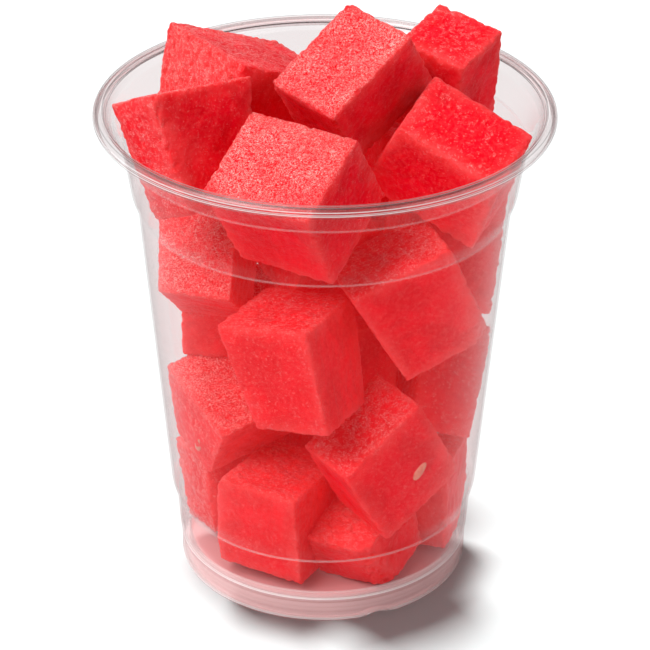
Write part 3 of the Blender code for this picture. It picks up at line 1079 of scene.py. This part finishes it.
@dataclass
class ClearCup:
    """The cup: one thin sheet turned about its axis, sizes in millimetres."""

    height: float = 111.8
    rim_radius: float = 49.6
    sheet: float = 0.4
    lip_width: float = 2.8
    lip_height: float = 2.8
    lip_tuck: float = -75.0
    neck: tuple = (45.6, 109.2)
    ring_top: tuple = (43.4, 104.2)
    ring_bottom: tuple = (43.1, 103.4)
    shoulder: tuple = (41.5, 92.7)
    body_top: tuple = (40.2, 89.4)
    body_bottom: tuple = (34.3, 20.0)
    base_top: tuple = (33.2, 16.7)
    base_bottom: tuple = (32.6, 8.0)
    foot_top: tuple = (32.3, 6.2)
    foot_lean: float = 0.1
    foot_flat: float = 0.8
    foot_bend: float = 0.3
    wall_bend: float = 0.9
    skirt_top: float = 30.9
    floor: float = 6.0
    floor_bend: float = 0.9
    floor_flat: float = 24.0
    notch_count: int = 3
    notch_first: float = -68.0
    notch_spread: float = 9.0
    notch_height: float = 1.0
    notch_fade: float = 3.5
    lip_points: int = 29
    bend_points: int = 7
    floor_points: int = 5
    turns: int = 256

    def lip_middle(self) -> tuple:
        """Radius and height of the middle of the rolled lip."""
        return self.rim_radius - self.lip_width / 2, self.height - self.lip_height / 2

    def arc(self, centre: tuple, half: tuple, start: float, end: float, count: int) -> Array:
        """Points on an arc of an ellipse, from one angle in degrees to another."""
        angles = np.radians(np.linspace(start, end, count))
        return np.stack([centre[0] + half[0] * np.cos(angles), centre[1] + half[1] * np.sin(angles)], axis=1)

    def bend(self, before: Array, corner: Array, after: Array, radius: float, count: int = 5) -> Array:
        """Round one corner of the outline with a parabola.

        With t from 0 to 1 the points are (1 - t)^2 a + 2 t (1 - t) c + t^2 b,
        where a and b lie a radius from the corner c on its two sides.

        Args:
            before: The outline's point before the corner.
            corner: The corner.
            after: The point after it.
            radius: How far from the corner the rounding starts.
            count: The number of points.

        Returns:
            The rounded points.
        """
        ends = []
        for side in (before, after):
            away = side - corner
            ends.append(corner + away * min(radius / np.linalg.norm(away), MOST_BEND))
        first, last = ends
        share = np.linspace(0.0, 1.0, count)[:, None]
        return (1 - share) ** 2 * first + 2 * share * (1 - share) * corner + share**2 * last

    def outline(self) -> Array:
        """The sheet's contents side, from the lip's free edge to the floor's middle.

        Returns:
            Radius and height of each point.
        """
        lip_half = (self.lip_width / 2, self.lip_height / 2)
        lip = self.arc(self.lip_middle(), lip_half, self.lip_tuck, 180, self.lip_points)
        corners = [lip[-1], self.neck, self.ring_top, self.ring_bottom, self.shoulder, self.body_top]
        corners += [self.body_bottom, self.base_top, self.base_bottom, self.foot_top]
        foot_outside = self.foot_top[0] - self.foot_lean
        foot_height = self.sheet + self.foot_bend
        corners.append((foot_outside, foot_height))
        corners = [np.array(corner) for corner in corners]
        wall = [
            self.bend(before, corner, after, self.wall_bend)
            for before, corner, after in zip(corners, corners[1:], corners[2:])
        ]
        bend = (self.foot_bend, self.foot_bend)
        outer = self.arc((foot_outside - self.foot_bend, foot_height), bend, 0, -90, self.bend_points)
        inner_middle = (foot_outside - self.foot_bend - self.foot_flat, foot_height)
        inner = self.arc(inner_middle, bend, -90, -180, self.bend_points)
        floor_middle = (self.skirt_top - self.floor_bend, self.floor - self.floor_bend)
        floor_half = (self.floor_bend, self.floor_bend)
        floor = self.arc(floor_middle, floor_half, 0, 90, self.bend_points)
        radii = np.linspace(self.floor_flat, 0.0, self.floor_points)
        across = np.stack([radii, np.full(self.floor_points, self.floor)], axis=1)
        return np.concatenate([lip, *wall, outer, inner, floor, across])

    def thicken(self, line: Array) -> Array:
        """Give the outline its thickness.

        The outer side is the line moved by the sheet's thickness along its
        normal, and it is joined on backwards to close the loop.

        Args:
            line: The contents side.

        Returns:
            The whole outline, which starts and ends on the axis.
        """
        tangent = np.gradient(line, axis=0)
        tangent /= np.linalg.norm(tangent, axis=1, keepdims=True)
        normal = np.stack([-tangent[:, 1], tangent[:, 0]], axis=1)
        outer = line + normal * self.sheet
        outer[-1, 0] = 0.0
        return np.concatenate([line[::-1], outer])

    def build(self) -> bpy.types.Object:
        """Make the cup's mesh.

        Each outline point (r, z) at the angle f lies at r cos f, r sin f, z.
        Near the foot z rises by the notch height times the squared sine of the
        share of the way into a scallop, fading out upwards.

        Returns:
            The object.
        """
        loop = self.thicken(self.outline())
        angles = np.arange(self.turns) * 2.0 * math.pi / self.turns
        radius = np.repeat(loop[:, 0], self.turns)
        height = np.repeat(loop[:, 1], self.turns)
        angle = np.tile(angles, len(loop))
        turn = 360.0 / self.notch_count
        offset = (np.degrees(angle) - self.notch_first + turn / 2) % turn - turn / 2
        share = np.clip(1.0 - np.abs(offset) / self.notch_spread, 0.0, 1.0)
        fade = np.clip(1.0 - height / self.notch_fade, 0.0, 1.0)
        height = height + self.notch_height * fade * np.sin(share * math.pi / 2) ** 2
        points = np.stack([radius * np.cos(angle), radius * np.sin(angle), height], axis=1)
        return make_mesh("cup_sheet", points * MM, tube_quads(len(loop), self.turns))

    def dress(self, thing: bpy.types.Object, material: bpy.types.Material) -> None:
        """Give the cup its clear plastic and tie it to the frame."""
        thing.data.materials.append(material)
        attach(thing, "root")
        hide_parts("cup")


# ---- studio


@dataclass
class Softbox:
    """A square light that hangs over the table."""

    name: str
    place: tuple
    size: float
    power: float
    lit: bpy.types.Collection
    shading: bpy.types.Collection | None = None
    aim: tuple = (0.0, 0.0, 0.06)

    def build(self) -> None:
        """Hang the light, turn it to its aim, and name what it lights and what shades it."""
        light = bpy.data.lights.new(self.name, "AREA")
        light.size = self.size
        light.energy = self.power
        thing = bpy.data.objects.new(self.name, light)
        bpy.context.scene.collection.objects.link(thing)
        thing.location = self.place
        thing.rotation_euler = (Vector(self.aim) - Vector(self.place)).to_track_quat("-Z", "Y").to_euler()
        thing.light_linking.receiver_collection = self.lit
        thing.light_linking.blocker_collection = self.shading


@dataclass
class Studio:
    """A white table under soft light, and the camera in front of it."""

    table: float = 4.0
    surround: float = 0.42
    lens: float = 155.08
    sensor: float = 36.0
    camera_place: tuple = (0.0, -0.5437, 0.3642)
    pitch: float = 29.42
    roll: float = 0.25
    yaw: float = 0.02

    def build_table(self) -> bpy.types.Object:
        """Lay the white table."""
        half = self.table / 2
        points = np.array([(-half, -half, 0), (half, -half, 0), (half, half, 0), (-half, half, 0)])
        table = make_mesh("studio_table", points, np.array([[0, 1, 2, 3]]))
        table.data.materials.append(GroundFinish().material())
        return table

    def build_light(
        self,
        table: bpy.types.Collection,
        cup: bpy.types.Collection,
        low: bpy.types.Collection,
    ) -> None:
        """Light the surround evenly and hang the softboxes.

        Args:
            table: What the table's light falls on.
            cup: What the lights on the cup and its fruit fall on.
            low: What shades the table's light, so that the shadow stays near the foot.
        """
        world = bpy.data.worlds.new("surround")
        world.use_nodes = True
        background = world.node_tree.nodes["Background"]
        background.inputs["Color"].default_value = (1.0, 1.0, 1.0, 1.0)
        background.inputs["Strength"].default_value = self.surround
        bpy.context.scene.world = world
        softboxes = (
            Softbox("table_softbox", (-0.35, 0.50, 2.0), size=0.60, power=97.0, lit=table, shading=low),
            Softbox("key_softbox", (-0.24, 0.16, 0.95), size=0.30, power=3.3, lit=cup),
            Softbox("front_softbox", (-0.70, -0.52, 1.05), size=0.80, power=19.0, lit=cup),
            Softbox("right_softbox", (0.80, -0.50, 0.80), size=0.80, power=2.5, lit=cup),
        )
        for softbox in softboxes:
            softbox.build()

    def build_camera(self) -> None:
        """Stand the camera in front, looking down at the cup."""
        camera = bpy.data.cameras.new("camera")
        camera.lens = self.lens
        camera.sensor_width = self.sensor
        camera.clip_start = 0.01
        thing = bpy.data.objects.new("camera", camera)
        bpy.context.scene.collection.objects.link(thing)
        turn = Matrix.Rotation(-math.radians(self.yaw), 4, "Z")
        turn = turn @ Matrix.Rotation(math.radians(90.0 - self.pitch), 4, "X")
        turn = turn @ Matrix.Rotation(math.radians(self.roll), 4, "Z")
        thing.matrix_world = Matrix.Translation(self.camera_place) @ turn
        bpy.context.scene.camera = thing

    def build(self, cup: bpy.types.Collection, low: bpy.types.Collection) -> None:
        """Set up the table, the light, the camera and the plain colour display.

        Args:
            cup: The collection that the cup and its fruit are put into.
            low: The collection that the lowest chunks are put into as well.
        """
        table = bpy.data.collections.new("table")
        table.objects.link(self.build_table())
        self.build_light(table, cup, low)
        self.build_camera()
        scene = bpy.context.scene
        scene.view_settings.view_transform = "Standard"
        scene.cycles.max_bounces = 12
        scene.cycles.diffuse_bounces = 5
        scene.cycles.transparent_max_bounces = 24


def detail_of(name: str) -> Detail:
    """Finest in the core, whose sharp edges fill the gaps, and coarsest along the back."""
    if name.endswith("_core"):
        return Detail.CORE
    return Detail.BEHIND if "_back" in name and "top" not in name else Detail.SHOWN


def nibble_of(name: str) -> float:
    """How deep a chunk's edges are nibbled: the core, which only fills gaps, keeps its edges."""
    return 0.0 if name.endswith("_core") else 0.30


def cut_of(name: str) -> Cut:
    """The left half is torn most, the front less, and the heap's right side least. This is partly painted
    light: the side the light comes from is drawn grainier and paler.
    """
    if "_front" in name and "top" not in name:
        return Cut.MIXED
    if name.endswith("_right"):
        return Cut.CLEAN
    return Cut.TORN if "top" in name or name.endswith("_left") else Cut.CLEAN


def lit_paleness_of(name: str) -> float:
    """How pale a chunk is painted: inside the cup the left half, where the light comes from, is palest, then
    the front. This paleness is painted light.
    """
    if "top" in name:
        return 0.0
    if name.endswith("_left"):
        return 0.18
    return 0.14 if name.endswith("_front") else 0.04


def main() -> None:
    """Build every piece in order and report it."""
    logging.basicConfig(level=logging.INFO, format="%(name)s: %(message)s")
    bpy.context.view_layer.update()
    pieces = bpy.data.collections.new("cup_and_fruit")
    low = bpy.data.collections.new("low_chunks")
    Studio().build(pieces, low)

    flesh = FleshFinish().material()
    names = sorted(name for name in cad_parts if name.startswith("chunk_"))
    for number, name in enumerate(names, start=1):
        chunk = MelonChunk(name, number, detail_of(name), cut_of(name), lit_paleness_of(name), nibble_of(name))
        thing = chunk.build()
        chunk.dress(thing, flesh)
        pieces.objects.link(thing)
        if "_bottom" in name or "_lower" in name:
            low.objects.link(thing)
        LOG.info("%s has %d faces", thing.name, len(thing.data.polygons))

    husk = SeedFinish().material()
    for name in ("chunk_lower_front_right", "chunk_lower_left"):
        seed = PaleSeed(name)
        thing = seed.build()
        seed.dress(thing, husk)
        pieces.objects.link(thing)
        LOG.info("%s lies on %s", thing.name, name)

    cup = ClearCup()
    thing = cup.build()
    cup.dress(thing, SheetFinish(cup.lip_middle(), cup.foot_top[0]).material())
    pieces.objects.link(thing)
    LOG.info("%s has %d faces", thing.name, len(thing.data.polygons))


if __name__ == "__main__":
    main()
